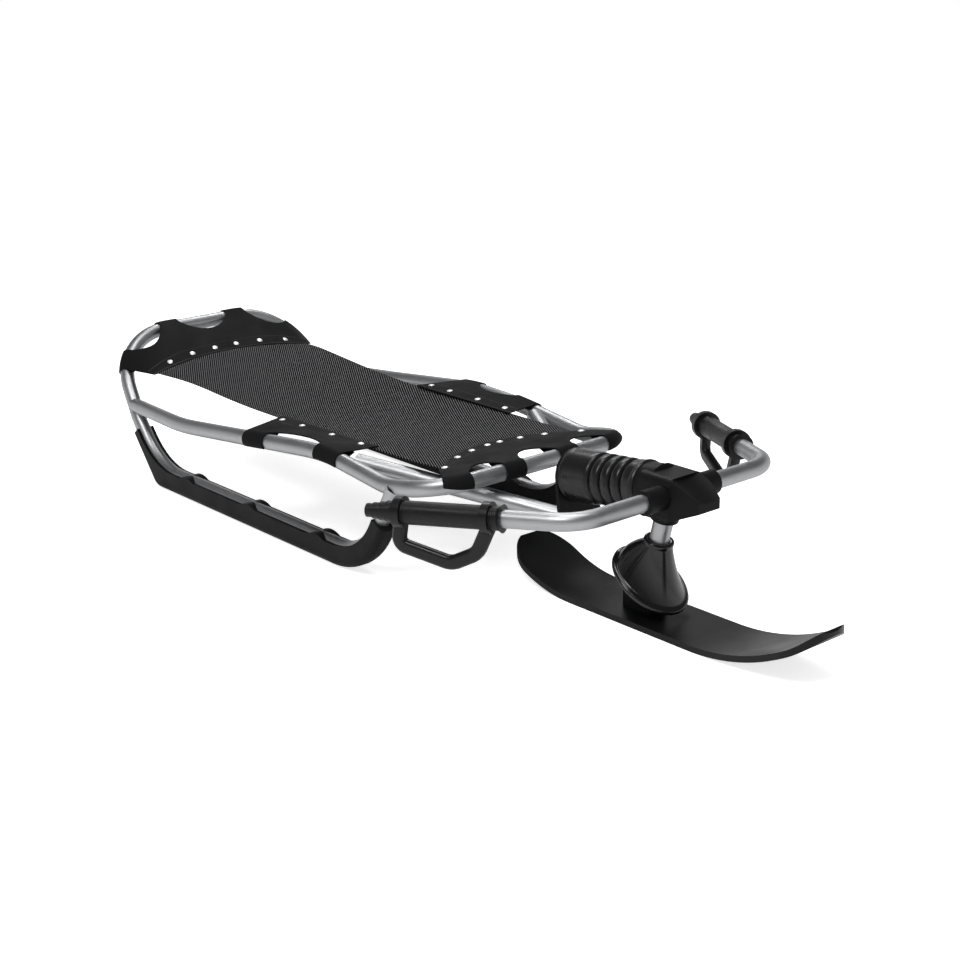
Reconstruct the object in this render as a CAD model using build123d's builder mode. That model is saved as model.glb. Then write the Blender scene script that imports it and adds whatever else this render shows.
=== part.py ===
from build123d import *
from math import cos, radians, sin
import os

os.makedirs("parts", exist_ok=True)

# A steerable snow sled. Lengths are in millimetres, +X is forward, +Y is the rider's left and +Z is up.
# Places along the sled are counted forward from a datum under the rear panel, where the base planes start,
# and the model's origin is on the floor under the middle of the sled's length.
overrun = 20.0

# Ski, its bottom line from the tail to the tip
ski_rear_x = 777.0
ski_tail = 63.0
ski_flat = 336.0
ski_rise = 88.0
ski_tip = 23.0
ski_rear_z = 44.0
ski_rise_z = 43.0
ski_tip_z = 63.0
ski_tail_bend = 200.0
ski_front_bend = 300.0
ski_tip_bend = 100.0
ski_t = 8.0
ski_half = 46.0
ski_nose_round = 44.0
ski_tail_round = 43.0
ski_flat_x = ski_rear_x + ski_tail
ski_rise_x = ski_flat_x + ski_flat
ski_tip_x = ski_rise_x + ski_rise + ski_tip

# Frame tubing
tube_d = 22.2
tube_wall = 1.6
tube_r = tube_d / 2
hoop_x = -41.0
hoop_z = 207.0
hoop_half = 159.0
hoop_bend = 105.0
leg_x = 52.0
leg_z = 95.0
leg_bend = 150.0
runner_half_track = 176.0
runner_sole = 14.4
runner_z = tube_r + runner_sole
runner_heel_x = 109.0
runner_heel_bend = 122.0
runner_toe_x = 652.0
runner_toe_bend = 110.0
runner_end_x = 717.0
runner_end_z = 138.0

overall_length = ski_tip_x - hoop_x + tube_r
rear = Plane(origin=(overall_length / 2 - ski_tip_x, 0, 0))
side = Plane(origin=rear.origin, x_dir=(1, 0, 0), z_dir=(0, -1, 0))

# Runner covers
cover_wall = 3.2
cover_toe_wall = 8.5
cover_lip = 6.0
cover_leg_run = 71.0
cover_toe_run = 72.0
cover_elbow = 25.0
cover_round = 10.0
hump_first_x = 208.0
hump_step = 171.0
hump_count = 3
hump_half = 20.0
hump_rise = 5.0

# Side rails and front cross bar, one bent tube. Its bends: x, distance outside the runners, z, radius
rail_foot_z = 114.0
bar_x = 797.0
bar_z = 153.0
bar_in = 4.0
bar_bend = 62.0
rail_bends = (
    (225.0, 22.0, 124.0, 500.0),
    (430.0, 21.0, 146.0, 450.0),
    (560.0, -2.0, 151.5, 350.0),
    (700.0, -4.0, 135.0, 120.0),
)

# Struts from the rails to the head plate
strut_rear_x = 612.0
strut_rear_in = 18.0
strut_rear_z = 147.0
strut_front_y = 25.0
strut_front_z = 103.0

# Head plate, stem and sleeve that carry the steering post
plate_x = 871.0
plate_t = 5.0
plate_z = 153.5
plate_tab_w = 70.0
plate_tab_low = 92.0
stem_d = 15.0
stem_r = stem_d / 2

# Steering post
post_d = 25.0
post_r = post_d / 2
post_foot_x = 1016.0
post_foot_z = 103.0
post_lean = 15.0
post_sink = 30.0
sleeve_wall = 3.0
sleeve_low = 45.0
sleeve_high = 57.0
sleeve_play = 0.08
sleeve_r = post_r + sleeve_play + sleeve_wall
post_top = 80.0

# Handlebar
handle_z = 172.0
handle_bend_y = 163.0
handle_bend_x = 1047.0
handle_bend = 55.0
grip_tip_x = 808.0
grip_tip_y = 285.0
grip_tip_z = 158.0

# Grips, counted along the grip from its tip
grip_r = 14.5
grip_tip_r = 8.5
grip_cone = 36.0
grip_cone_steps = 4
grip_length = 176.0
grip_lip = 2.5
grip_lip_w = 4.0

# Hand guards. The bends of the loop: distance from the grip's tip, drop below the grip, radius
guard_bends = ((38.0, 40.0, 12.0), (106.0, 60.0, 25.0), (140.0, 45.0, 25.0))
guard_rear = 44.0
guard_front = 157.0
guard_w = 18.0
guard_t = 13.0
guard_round = 5.5
guard_ring = 10.0
guard_ring_wall = 5.0

# Housing round the top of the post: its side outline, nose and rounding
housing_half = 30.0
housing_nose_half = 18.0
housing_nose_x = 1097.0
housing_round = 10.0
housing_rear_x = 1008.0
housing_low_z = 139.0
housing_top_z = 196.0
housing_ridge_x = 1058.0
housing_nose_top_z = 176.0
housing_nose_low_z = 160.0
housing_collar_r = 15.5
housing_collar_half = 60.0
housing_gap = 2.5
housing_swing = 10.0
scoop_r = 60.0
scoop_half = 24.0
neck_r = 18.0
neck_h = 12.0
neck_low = 32.0

# Bellows between the head plate and the housing
bellows_wall = 2.5
bellows_r = 34.0
bellows_front_r = 30.5
bellows_front_x = 999.5
bellows_front_z = 168.5
groove_first = 52.0
groove_step = 17.7
groove_half = 3.5
groove_depth = 4.0
groove_count = 4

# Boot under the post: its foot, waist and top
boot_x = 1003.0
boot_z = 49.6
boot_tilt = 32.0
boot_long_r = 51.0
boot_wide_r = 40.0
boot_rim = 5.0
boot_waist_x = 1005.0
boot_waist_z = 75.5
boot_waist_tilt = 26.6
boot_waist_long_r = 34.7
boot_waist_wide_r = 27.0
boot_top_r = 17.0
boot_top_drop = 4.0
hinge_x = 992.0
hinge_l = 46.0
hinge_w = 30.0

# Coated fabric panels and their loops
cloth_t = 1.6
cloth_gap = 0.4
loop_inner_r = tube_r + cloth_gap
loop_r = loop_inner_r + cloth_t
rear_loop_y = 62.0
rear_loop_w = 34.0
rear_corner_shares = (0.2, 0.42)
rear_scallop_y = 108.0
rear_scallop = 24.0
side_loops_x = (431.0, 574.0)
side_loop_w = 46.0
side_scallop_x = 502.0
side_scallop_l = 46.0
front_loop_y = 44.0
front_loop_w = 33.0
front_corner_shares = (0.5, 0.86)
front_scallop_y = 92.0
front_scallop = 12.0

# Cross sections of the panels on one side and in the middle, and of the mesh between them.
# Rear and front panel: y, rear x, rear z, front x, front z
rear_panel_sections = (
    (0, -38.0, 219.2, 45.0, 174.0),
    (80.0, -37.0, 218.6, 49.0, 171.5),
    (134.0, -15.5, 196.0, 59.0, 165.5),
    (151.0, -3.0, 180.6, 62.0, 163.5),
)
front_panel_sections = (
    (0, 690.0, 157.5, 795.0, 165.4),
    (60.0, 712.0, 158.5, 795.0, 165.4),
    (118.0, 756.0, 161.0, 795.0, 165.4),
    (142.0, 772.0, 162.3, 788.0, 163.8),
)
# Side panel: x, inner edge's y, inner z
side_panel_sections = ((384.0, 132.0, 155.0), (430.0, 130.0, 155.5), (500.0, 127.0, 156.5), (600.0, 121.5, 157.0))
# Mesh: y, rear x, rear z, lowest x, lowest z, front x, front z
mesh_sections = (
    (0, 48.0, 171.5, 320.0, 128.0, 768.0, 158.0),
    (80.0, 54.0, 168.5, 320.0, 137.0, 768.0, 158.0),
    (124.0, 62.0, 163.0, 300.0, 152.0, 742.0, 151.0),
)
mesh_t = 2.0
mesh_bend = 250.0


def sweep_tube(line, diameter, wall):
    """A round tube swept along a path in the open part; a wall of zero gives a solid rod."""
    path = line.wire()
    with BuildSketch(Plane(origin=path @ 0, z_dir=path % 0)) as ring:
        Circle(diameter / 2)
        if wall:
            Circle(diameter / 2 - wall, mode=Mode.SUBTRACT)
    sweep(sections=ring.sketch, path=path)


def both_sides(points):
    """A path's points on the right, then the same points on the left in reverse."""
    right = [(x, -y, z) for x, y, z in points]
    return right + [(x, y, z) for x, y, z in reversed(points)]


def x_at(start, end, z):
    """The x at height z on the line between two (x, z) points."""
    return start.X + (end.X - start.X) * (z - start.Y) / (end.Y - start.Y)


def at_y(y):
    """The upright plane along the sled at this y, its sketch in x and z."""
    return Plane(origin=side.origin + Vector(0, y, 0), x_dir=side.x_dir, z_dir=side.z_dir)


def both_hands(sections):
    """Rows that start with a y, from the right edge through the middle to the left edge."""
    return [(-row[0], *row[1:]) for row in reversed(sections[1:])] + list(sections)


def finish(part, name):
    """Name a finished piece and write its file."""
    part.part.label = name
    export_step(part.part, f"parts/{name}.step")


# Paths of the two bent frame tubes: x, half width, z
runner_points = [
    (runner_end_x, runner_half_track, runner_end_z),
    (runner_toe_x, runner_half_track, runner_z),
    (runner_heel_x, runner_half_track, runner_z),
    (leg_x, runner_half_track, leg_z),
    (hoop_x, hoop_half, hoop_z),
]
runner_bends = [runner_toe_bend, runner_heel_bend, leg_bend, hoop_bend]
foot_share = (rail_foot_z - leg_z) / (hoop_z - leg_z)
rail_points = [
    (
        leg_x + (hoop_x - leg_x) * foot_share,
        runner_half_track + (hoop_half - runner_half_track) * foot_share,
        rail_foot_z,
    ),
    *((x, runner_half_track + outside, z) for x, outside, z, bend in rail_bends),
    (bar_x, runner_half_track - bar_in, bar_z),
]
rail_radii = [row[3] for row in rail_bends] + [bar_bend]
with BuildLine(rear) as runner_line:
    FilletPolyline(*both_sides(runner_points), radius=runner_bends + runner_bends[::-1])
with BuildLine(rear) as rail_line:
    FilletPolyline(*both_sides(rail_points), radius=rail_radii + rail_radii[::-1])
with BuildPart() as runner_rod:
    sweep_tube(runner_line, tube_d, 0)
with BuildPart() as rail_rod:
    sweep_tube(rail_line, tube_d, 0)

# Rear hoop, legs, runners and front curls, one bent tube, its ends shaped to fit under the rails
middle = Plane(origin=rear.origin + Vector(strut_rear_x - overrun, 0, 0), z_dir=(1, 0, 0))
with BuildPart() as front_rail_rod:
    add(rail_rod.part)
    split(bisect_by=middle, keep=Keep.TOP)
with BuildPart() as runner_tube:
    sweep_tube(runner_line, tube_d, tube_wall)
    add(front_rail_rod.part, mode=Mode.SUBTRACT)
    add(runner_tube.part.solids().sort_by(SortBy.VOLUME)[-1], mode=Mode.REPLACE)
finish(runner_tube, "runner_tube")

# Side rails and cross bar, one bent tube, its ends shaped to fit the legs
with BuildPart() as rear_runner_rod:
    add(runner_rod.part)
    split(bisect_by=middle, keep=Keep.BOTTOM)
with BuildPart() as side_tube:
    sweep_tube(rail_line, tube_d, tube_wall)
    add(rear_runner_rod.part, mode=Mode.SUBTRACT)
    add(side_tube.part.solids().sort_by(SortBy.VOLUME)[-1], mode=Mode.REPLACE)
finish(side_tube, "side_tube")

# Steering axis, leaning forward at the top
lean = radians(post_lean)
steering = Plane(
    origin=rear.origin + Vector(post_foot_x, 0, post_foot_z),
    x_dir=(cos(lean), 0, -sin(lean)),
    z_dir=(sin(lean), 0, cos(lean)),
)

# Axis of the bellows, rising from the head plate to the housing
bellows_start = Vector(plate_x, 0, plate_z)
bellows_run = Vector(bellows_front_x, 0, bellows_front_z) - bellows_start
bellows_plane = Plane(origin=rear.origin + bellows_start, x_dir=(0, 1, 0), z_dir=bellows_run)

# Struts that run forward and inward under the cross bar to the head plate
for name, hand in (("strut_right", -1), ("strut_left", 1)):
    with BuildPart() as strut:
        with BuildLine(rear) as strut_line:
            Line(
                (strut_rear_x, hand * (runner_half_track - strut_rear_in), strut_rear_z),
                (plate_x, hand * strut_front_y, strut_front_z),
            )
        sweep_tube(strut_line, tube_d, tube_wall)
        split(bisect_by=bellows_plane.offset(-plate_t), keep=Keep.BOTTOM)
        add(front_rail_rod.part, mode=Mode.SUBTRACT)
        add(strut.part.solids().sort_by(SortBy.VOLUME)[-1], mode=Mode.REPLACE)
    finish(strut, name)

# Head plate, stem and sleeve, welded together
sleeve_mid = steering.from_local_coords((0, 0, (sleeve_low + sleeve_high) / 2))
with BuildPart() as head_stem:
    with BuildSketch(bellows_plane):
        Circle(bellows_r)
        with Locations((0, (plate_tab_low - plate_z) / 2)):
            Rectangle(plate_tab_w, plate_z - plate_tab_low)
        with Locations((0, 0)):
            Rectangle(plate_tab_w + overrun, 2 * stem_r, mode=Mode.SUBTRACT)
        Circle(bellows_r)
    extrude(amount=-plate_t)
    with BuildLine() as stem_line:
        Line(bellows_plane.origin - bellows_plane.z_dir * plate_t / 2, sleeve_mid)
    sweep_tube(stem_line, stem_d, 0)
    with BuildSketch(steering.offset(sleeve_low)):
        Circle(sleeve_r)
    extrude(amount=sleeve_high - sleeve_low)
    with BuildSketch(steering.offset(sleeve_low - overrun)):
        Circle(post_r + sleeve_play)
    extrude(amount=sleeve_high - sleeve_low + 2 * overrun, mode=Mode.SUBTRACT)
finish(head_stem, "head_stem")

# Runner covers, plain deep shoes under the tube with a flat sole and three low humps on each wall
heel = Vector(runner_heel_x, runner_z)
toe = Vector(runner_toe_x, runner_z)
leg_dir = (Vector(leg_x, leg_z) - heel).normalized()
leg_out = Vector(-leg_dir.Y, leg_dir.X)
toe_dir = (Vector(runner_end_x, runner_end_z) - toe).normalized()
toe_out = Vector(toe_dir.Y, -toe_dir.X)
cover_half = tube_r + cover_wall
sole_reach = (cover_half**2 + (cover_half - cover_wall / 2) ** 2) ** 0.5
rear_end = heel + leg_dir * cover_leg_run
front_end = toe + toe_dir * cover_toe_run
rear_low = rear_end + leg_out * cover_half
rear_high = rear_end - leg_out * cover_lip
front_low = front_end + toe_out * (tube_r + cover_toe_wall)
front_high = front_end - toe_out * cover_lip
lip_z = runner_z + cover_lip
outer_points = [
    (rear_low.X, rear_low.Y),
    (x_at(rear_low, rear_low + leg_dir, 0), 0),
    (x_at(front_low, front_low + toe_dir, 0), 0),
    (front_low.X, front_low.Y),
]
inner_points = [
    (front_high.X, front_high.Y),
    (x_at(front_high, front_high + toe_dir, lip_z), lip_z),
    (x_at(rear_high, rear_high + leg_dir, lip_z), lip_z),
    (rear_high.X, rear_high.Y),
]
for name, hand in (("runner_cover_right", -1), ("runner_cover_left", 1)):
    with BuildPart() as cover:
        with BuildSketch(at_y(hand * runner_half_track)):
            with BuildLine():
                outer = FilletPolyline(*outer_points, radius=[cover_elbow, runner_toe_bend + tube_r + cover_toe_wall])
                inner = FilletPolyline(*inner_points, radius=[runner_toe_bend - cover_lip, runner_heel_bend - cover_lip])
                Line(outer @ 1, inner @ 0)
                Line(inner @ 1, outer @ 0)
            make_face()
            for hump in range(hump_count):
                x = hump_first_x + hump * hump_step
                with BuildLine():
                    ThreePointArc((x - hump_half, lip_z), (x, lip_z + hump_rise), (x + hump_half, lip_z))
                    Polyline((x + hump_half, lip_z), (x, runner_z), (x - hump_half, lip_z))
                make_face()
        extrude(amount=cover_half, both=True)
        along = cover.edges().filter_by(Axis.Y, reverse=True)
        sole = along.filter_by(lambda edge: Vertex(edge @ 0.5).distance_to(runner_line.line) > sole_reach)
        fillet(sole, radius=cover_round)
        add(runner_rod.part, mode=Mode.SUBTRACT)
    finish(cover, name)


def loop(axis_plane, length):
    """A straight cloth loop round a frame tube, centred on the plane."""
    with BuildSketch(axis_plane) as ring:
        Circle(loop_r)
        Circle(loop_inner_r, mode=Mode.SUBTRACT)
    extrude(ring.sketch, amount=length / 2, both=True)


def loop_along(path):
    """A cloth loop that follows a stretch of a frame tube."""
    with BuildSketch(Plane(origin=path @ 0, z_dir=path % 0)) as ring:
        Circle(loop_r)
        Circle(loop_inner_r, mode=Mode.SUBTRACT)
    sweep(sections=ring.sketch, path=path)


def sheet_between(sections):
    """A sheet through straight cross sections at each y: rear x, rear z, front x, front z."""
    cuts = []
    for y, rear_x, rear_z, front_x, front_z in both_hands(sections):
        with BuildSketch(at_y(y)) as cut:
            with BuildLine():
                Line((rear_x, rear_z), (front_x, front_z))
            trace(line_width=cloth_t)
        cuts.append(cut.sketch)
    loft(cuts, ruled=True)


def share_at(path, x):
    """The share of the right-hand rail's path at which it reaches this x."""
    low, high = 0.0, 0.5
    while high - low > cloth_gap / overall_length:
        low, high = ((low + high) / 2, high) if (path @ ((low + high) / 2)).X < x else (low, (low + high) / 2)
    return low


# Rear panel, hung forward from the hoop by two loops on its bar and one on each bend
hoop_arc = runner_line.edges().filter_by(GeomType.CIRCLE).sort_by(Axis.Z)[-2:].sort_by(Axis.Y)[0]
with BuildPart() as hoop_space:
    sweep_tube(runner_line, 2 * loop_inner_r, 0)
with BuildPart() as rear_panel:
    sheet_between(rear_panel_sections)
    with BuildSketch(rear):
        with Locations((hoop_x, 0), (hoop_x, -rear_scallop_y), (hoop_x, rear_scallop_y)):
            Circle(rear_scallop)
    extrude(amount=hoop_z + hoop_bend, mode=Mode.SUBTRACT)
    for hand in (-1, 1):
        loop(Plane(origin=rear.origin + Vector(hoop_x, hand * rear_loop_y, hoop_z), z_dir=(0, 1, 0)), rear_loop_w)
    add(hoop_space.part, mode=Mode.SUBTRACT)
    with BuildPart(mode=Mode.PRIVATE) as rear_corner:
        loop_along(hoop_arc.trim(*rear_corner_shares))
    add(rear_corner.part)
    add(mirror(rear_corner.part, about=Plane.XZ, mode=Mode.PRIVATE))
finish(rear_panel, "rear_panel")

# Side panels, each on two loops round the rail and lying in to the mesh
rail_path = rail_line.wire()
with BuildPart() as rail_space:
    sweep_tube(rail_line, 2 * loop_inner_r, 0)
for name, hand in (("side_panel_right", -1), ("side_panel_left", 1)):
    with BuildPart() as side_panel:
        for x, inner_y, inner_z in side_panel_sections:
            rail = rail_path @ share_at(rail_path, rear.origin.X + x)
            with BuildSketch(Plane(origin=rear.origin + Vector(x, 0, 0), x_dir=(0, 1, 0), z_dir=(1, 0, 0))):
                with BuildLine():
                    Line((-hand * rail.Y, rail.Z + loop_r - cloth_t / 2), (hand * inner_y, inner_z))
                trace(line_width=cloth_t)
        loft(ruled=True)
        with BuildSketch(rear):
            with Locations((side_scallop_x, hand * (runner_half_track + tube_r))):
                Ellipse(side_scallop_l, rear_scallop)
        extrude(amount=hoop_z, mode=Mode.SUBTRACT)
        add(rail_space.part, mode=Mode.SUBTRACT)
        for x in side_loops_x:
            ends = [share_at(rail_path, rear.origin.X + x + half * side_loop_w / 2) for half in (-1, 1)]
            stretch = rail_path.trim(*(ends if hand < 0 else [1 - ends[1], 1 - ends[0]]))
            loop_along(stretch)
    finish(side_panel, name)

# Front panel, on two loops round the cross bar and one on each of its bends
bar_arc = rail_line.edges().filter_by(GeomType.CIRCLE).sort_by(Axis.X)[-2:].sort_by(Axis.Y)[0]
with BuildPart() as front_panel:
    sheet_between(front_panel_sections)
    with BuildSketch(rear):
        with Locations((bar_x, 0), (bar_x, -front_scallop_y), (bar_x, front_scallop_y)):
            Ellipse(front_scallop, rear_scallop)
    extrude(amount=hoop_z, mode=Mode.SUBTRACT)
    add(rail_space.part, mode=Mode.SUBTRACT)
    for hand in (-1, 1):
        loop(Plane(origin=rear.origin + Vector(bar_x, hand * front_loop_y, bar_z), z_dir=(0, 1, 0)), front_loop_w)
    with BuildPart(mode=Mode.PRIVATE) as front_corner:
        loop_along(bar_arc.trim(*front_corner_shares))
    add(front_corner.part)
    add(mirror(front_corner.part, about=Plane.XZ, mode=Mode.PRIVATE))
finish(front_panel, "front_panel")

# Mesh seat, a sling that sags most behind the middle
with BuildPart() as seat_mesh:
    for y, rear_x, rear_z, low_x, low_z, front_x, front_z in both_hands(mesh_sections):
        with BuildSketch(at_y(y)):
            with BuildLine():
                FilletPolyline((rear_x, rear_z), (low_x, low_z), (front_x, front_z), radius=mesh_bend)
            trace(line_width=mesh_t)
    loft(ruled=True)
finish(seat_mesh, "seat_mesh")

# Handlebar, one tube swept back and outward at both ends
grip_run = Vector(grip_tip_x - handle_bend_x, grip_tip_y - handle_bend_y, grip_tip_z - handle_z)
grip_dir = grip_run.normalized()
handle_end = Vector(grip_tip_x, grip_tip_y, grip_tip_z) - grip_dir * grip_cone
handle_points = [
    (handle_end.X, handle_end.Y, handle_end.Z),
    (handle_bend_x, handle_bend_y, handle_z),
]
with BuildLine(rear) as handle_line:
    FilletPolyline(*both_sides(handle_points), radius=[handle_bend, handle_bend])
with BuildPart() as handle_rod:
    sweep_tube(handle_line, tube_d, 0)
with BuildPart() as handlebar:
    sweep_tube(handle_line, tube_d, tube_wall)
finish(handlebar, "handlebar")

# Steering post, its foot inside the boot and its top shaped to fit the handlebar
with BuildPart() as steering_post:
    with BuildSketch(steering.offset(-post_sink)):
        Circle(post_r)
    extrude(amount=post_sink + post_top)
    add(handle_rod.part, mode=Mode.SUBTRACT)
finish(steering_post, "steering_post")


def grip_plane(hand, distance):
    """A plane square to a grip, this far from its tip, its X pointing up."""
    tip = rear.origin + Vector(grip_tip_x, hand * grip_tip_y, grip_tip_z)
    inward = Vector(-grip_dir.X, -hand * grip_dir.Y, -grip_dir.Z)
    across = inward.cross(Vector(0, 0, 1)).normalized()
    return Plane(origin=tip + inward * distance, x_dir=across.cross(inward), z_dir=inward)


# Grips: a rubber sleeve with a stepped cone at its tip and a lip at its inner end
step_w = grip_cone / grip_cone_steps
step_r = (grip_r - grip_tip_r) / grip_cone_steps
grip_points = [(0, 0), (grip_tip_r, 0)]
for step in range(grip_cone_steps):
    grip_points += [(grip_tip_r + step * step_r, (step + 1) * step_w), (grip_tip_r + (step + 1) * step_r, (step + 1) * step_w)]
grip_points += [
    (grip_r, grip_length - grip_lip_w),
    (grip_r + grip_lip, grip_length),
    (tube_r, grip_length),
    (tube_r, grip_cone),
    (0, grip_cone),
]
for name, hand in (("grip_right", -1), ("grip_left", 1)):
    base = grip_plane(hand, 0)
    with BuildPart() as grip:
        with BuildSketch(Plane(origin=base.origin, x_dir=base.x_dir, z_dir=-base.y_dir)):
            with BuildLine():
                Polyline(*grip_points, close=True)
            make_face()
        revolve(axis=Axis(base.origin, base.z_dir))
    finish(grip, name)

# Hand guards, a loop hung from two rings on each grip
for name, hand in (("hand_guard_right", -1), ("hand_guard_left", 1)):
    with BuildPart() as guard:
        with BuildLine(grip_plane(hand, 0)) as guard_line:
            FilletPolyline(
                (-tube_r, 0, guard_rear),
                *((-drop, 0, distance) for distance, drop, bend in guard_bends),
                (-tube_r, 0, guard_front),
                radius=[row[2] for row in guard_bends],
            )
        guard_path = guard_line.wire()
        with BuildSketch(Plane(origin=guard_path @ 0, x_dir=grip_plane(hand, 0).z_dir, z_dir=guard_path % 0)):
            RectangleRounded(guard_w, guard_t, guard_round)
        sweep(path=guard_path)
        for distance in (guard_rear, guard_front):
            with BuildSketch(grip_plane(hand, distance)):
                Circle(grip_r + guard_ring_wall)
                Circle(grip_r, mode=Mode.SUBTRACT)
            extrude(amount=guard_ring / 2, both=True)
        with BuildSketch(grip_plane(hand, grip_cone - step_w)):
            Circle(grip_r)
        extrude(amount=grip_length, mode=Mode.SUBTRACT)
    finish(guard, name)

# Housing round the top of the post, scooped on its sloping front, hollow where the sleeve and stem swing
ridge = Vector(housing_ridge_x, 0, housing_top_z)
nose = Vector(housing_nose_x, 0, housing_nose_top_z)
slope = (nose - ridge).normalized()
scoop_height = (scoop_r**2 - scoop_half**2) ** 0.5
housing_rear = bellows_plane.offset(bellows_run.length + cloth_gap)
housing_h = housing_top_z - housing_low_z
with BuildPart() as steering_housing:
    with BuildSketch(side):
        with BuildLine():
            Polyline(
                (housing_rear_x, housing_low_z),
                (housing_rear_x, housing_top_z),
                (housing_ridge_x, housing_top_z),
                (housing_nose_x, housing_nose_top_z),
                (housing_nose_x, housing_nose_low_z),
                (handle_bend_x, housing_low_z),
                close=True,
            )
        make_face()
    extrude(amount=housing_half, both=True)
    with BuildSketch(Plane(origin=rear.origin + Vector(housing_rear_x, 0, housing_low_z + housing_h / 2), z_dir=(1, 0, 0))):
        RectangleRounded(housing_h, 2 * housing_half, housing_round)
    extrude(amount=housing_nose_x - housing_rear_x, mode=Mode.INTERSECT)
    with BuildSketch(rear):
        with BuildLine():
            Polyline(
                (housing_rear_x, -housing_half),
                (housing_ridge_x, -housing_half),
                (housing_nose_x, -housing_nose_half),
                (housing_nose_x, housing_nose_half),
                (housing_ridge_x, housing_half),
                (housing_rear_x, housing_half),
                close=True,
            )
        make_face()
    extrude(amount=overall_length, mode=Mode.INTERSECT)
    with BuildSketch(housing_rear):
        Circle(bellows_front_r)
    extrude(amount=(housing_ridge_x - housing_rear_x) / 2)
    with BuildSketch(Plane(origin=rear.origin + Vector(handle_bend_x, 0, handle_z), z_dir=(0, 1, 0))):
        Circle(housing_collar_r)
    extrude(amount=housing_collar_half, both=True)
    with BuildSketch(steering.offset(neck_low)):
        Circle(neck_r)
    extrude(amount=neck_h)
    with BuildSketch(Plane(origin=rear.origin + ridge, x_dir=(0, 1, 0), z_dir=slope)):
        with Locations((0, scoop_height)):
            Circle(scoop_r)
    extrude(amount=overrun + (nose - ridge).length, mode=Mode.SUBTRACT)
    with BuildSketch(steering.offset(sleeve_low - housing_gap)):
        Circle(sleeve_r + housing_gap)
    extrude(amount=sleeve_high - sleeve_low + 2 * housing_gap, mode=Mode.SUBTRACT)
    with BuildSketch(Plane(origin=sleeve_mid, x_dir=(0, 1, 0), z_dir=(-1, 0, 0))):
        Rectangle(2 * (stem_r + housing_gap + housing_swing), 2 * (stem_r + housing_gap))
    extrude(amount=2 * housing_half, mode=Mode.SUBTRACT)
    add(handle_rod.part, mode=Mode.SUBTRACT)
    add(steering_post.part, mode=Mode.SUBTRACT)
finish(steering_housing, "steering_housing")

# Bellows, a smooth cup on the head plate, four narrow grooves and a lip at the housing
with BuildPart() as bellows:
    with BuildSketch(Plane(origin=bellows_plane.origin, x_dir=bellows_plane.x_dir, z_dir=-bellows_plane.y_dir)):
        with BuildLine():
            outer = [(bellows_r, cloth_gap)]
            for groove in range(groove_count):
                z = groove_first + groove * groove_step
                r = bellows_r + (bellows_front_r - bellows_r) * z / bellows_run.length
                outer += [(r, z - groove_half), (r - groove_depth, z), (r, z + groove_half)]
            outer += [(bellows_front_r, bellows_run.length)]
            inner = [(r - bellows_wall, z) for r, z in reversed(outer)]
            Polyline(*(outer + inner), close=True)
        make_face()
    revolve(axis=Axis(bellows_plane.origin, bellows_plane.z_dir))
finish(bellows, "bellows")


def tilted(x, z, angle):
    """A plane facing up over the ski at this place, its rear edge raised by the angle."""
    turn = radians(angle)
    return Plane(origin=rear.origin + Vector(x, 0, z), x_dir=(cos(turn), 0, -sin(turn)), z_dir=(sin(turn), 0, cos(turn)))


# Boot, a waisted cone from the post down to a tilted oval foot with a rim
boot_foot = tilted(boot_x, boot_z, boot_tilt)
with BuildPart() as ski_boot:
    with BuildSketch(boot_foot):
        Ellipse(boot_long_r, boot_wide_r)
    with BuildSketch(tilted(boot_waist_x, boot_waist_z, boot_waist_tilt)):
        Ellipse(boot_waist_long_r, boot_waist_wide_r)
    with BuildSketch(steering.offset(-boot_top_drop)):
        Circle(boot_top_r)
    loft()
    with BuildSketch(boot_foot):
        Ellipse(boot_long_r + boot_rim, boot_wide_r + boot_rim)
    extrude(amount=-boot_rim)
    add(steering_post.part, mode=Mode.SUBTRACT)
finish(ski_boot, "ski_boot")

# Ski, turned up at both ends
with BuildPart() as ski:
    with BuildSketch(side):
        with BuildLine():
            FilletPolyline(
                (ski_rear_x, ski_rear_z + ski_t / 2),
                (ski_flat_x, ski_t / 2),
                (ski_rise_x, ski_t / 2),
                (ski_rise_x + ski_rise, ski_rise_z + ski_t / 2),
                (ski_tip_x, ski_tip_z + ski_t / 2),
                radius=[ski_tail_bend, ski_front_bend, ski_tip_bend],
            )
        trace(line_width=ski_t)
    extrude(amount=ski_half, both=True)
    with BuildSketch(rear) as blank:
        with Locations(((ski_rear_x + ski_tip_x) / 2, 0)):
            Rectangle(ski_tip_x - ski_rear_x, 2 * ski_half)
        fillet(blank.vertices().group_by(Axis.X)[-1], radius=ski_nose_round)
        fillet(blank.vertices().group_by(Axis.X)[0], radius=ski_tail_round)
    extrude(amount=bar_z, mode=Mode.INTERSECT)
finish(ski, "ski")

# Hinge block on the ski, under the boot
with BuildPart() as boot_hinge:
    with BuildSketch(rear.offset(ski_t)):
        with Locations((hinge_x, 0)):
            Rectangle(hinge_l, hinge_w)
    extrude(amount=2 * boot_z)
    split(bisect_by=boot_foot.offset(-boot_rim), keep=Keep.BOTTOM)
finish(boot_hinge, "boot_hinge")
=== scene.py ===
import math
import bpy
from mathutils import Matrix, Quaternion, Vector


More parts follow.
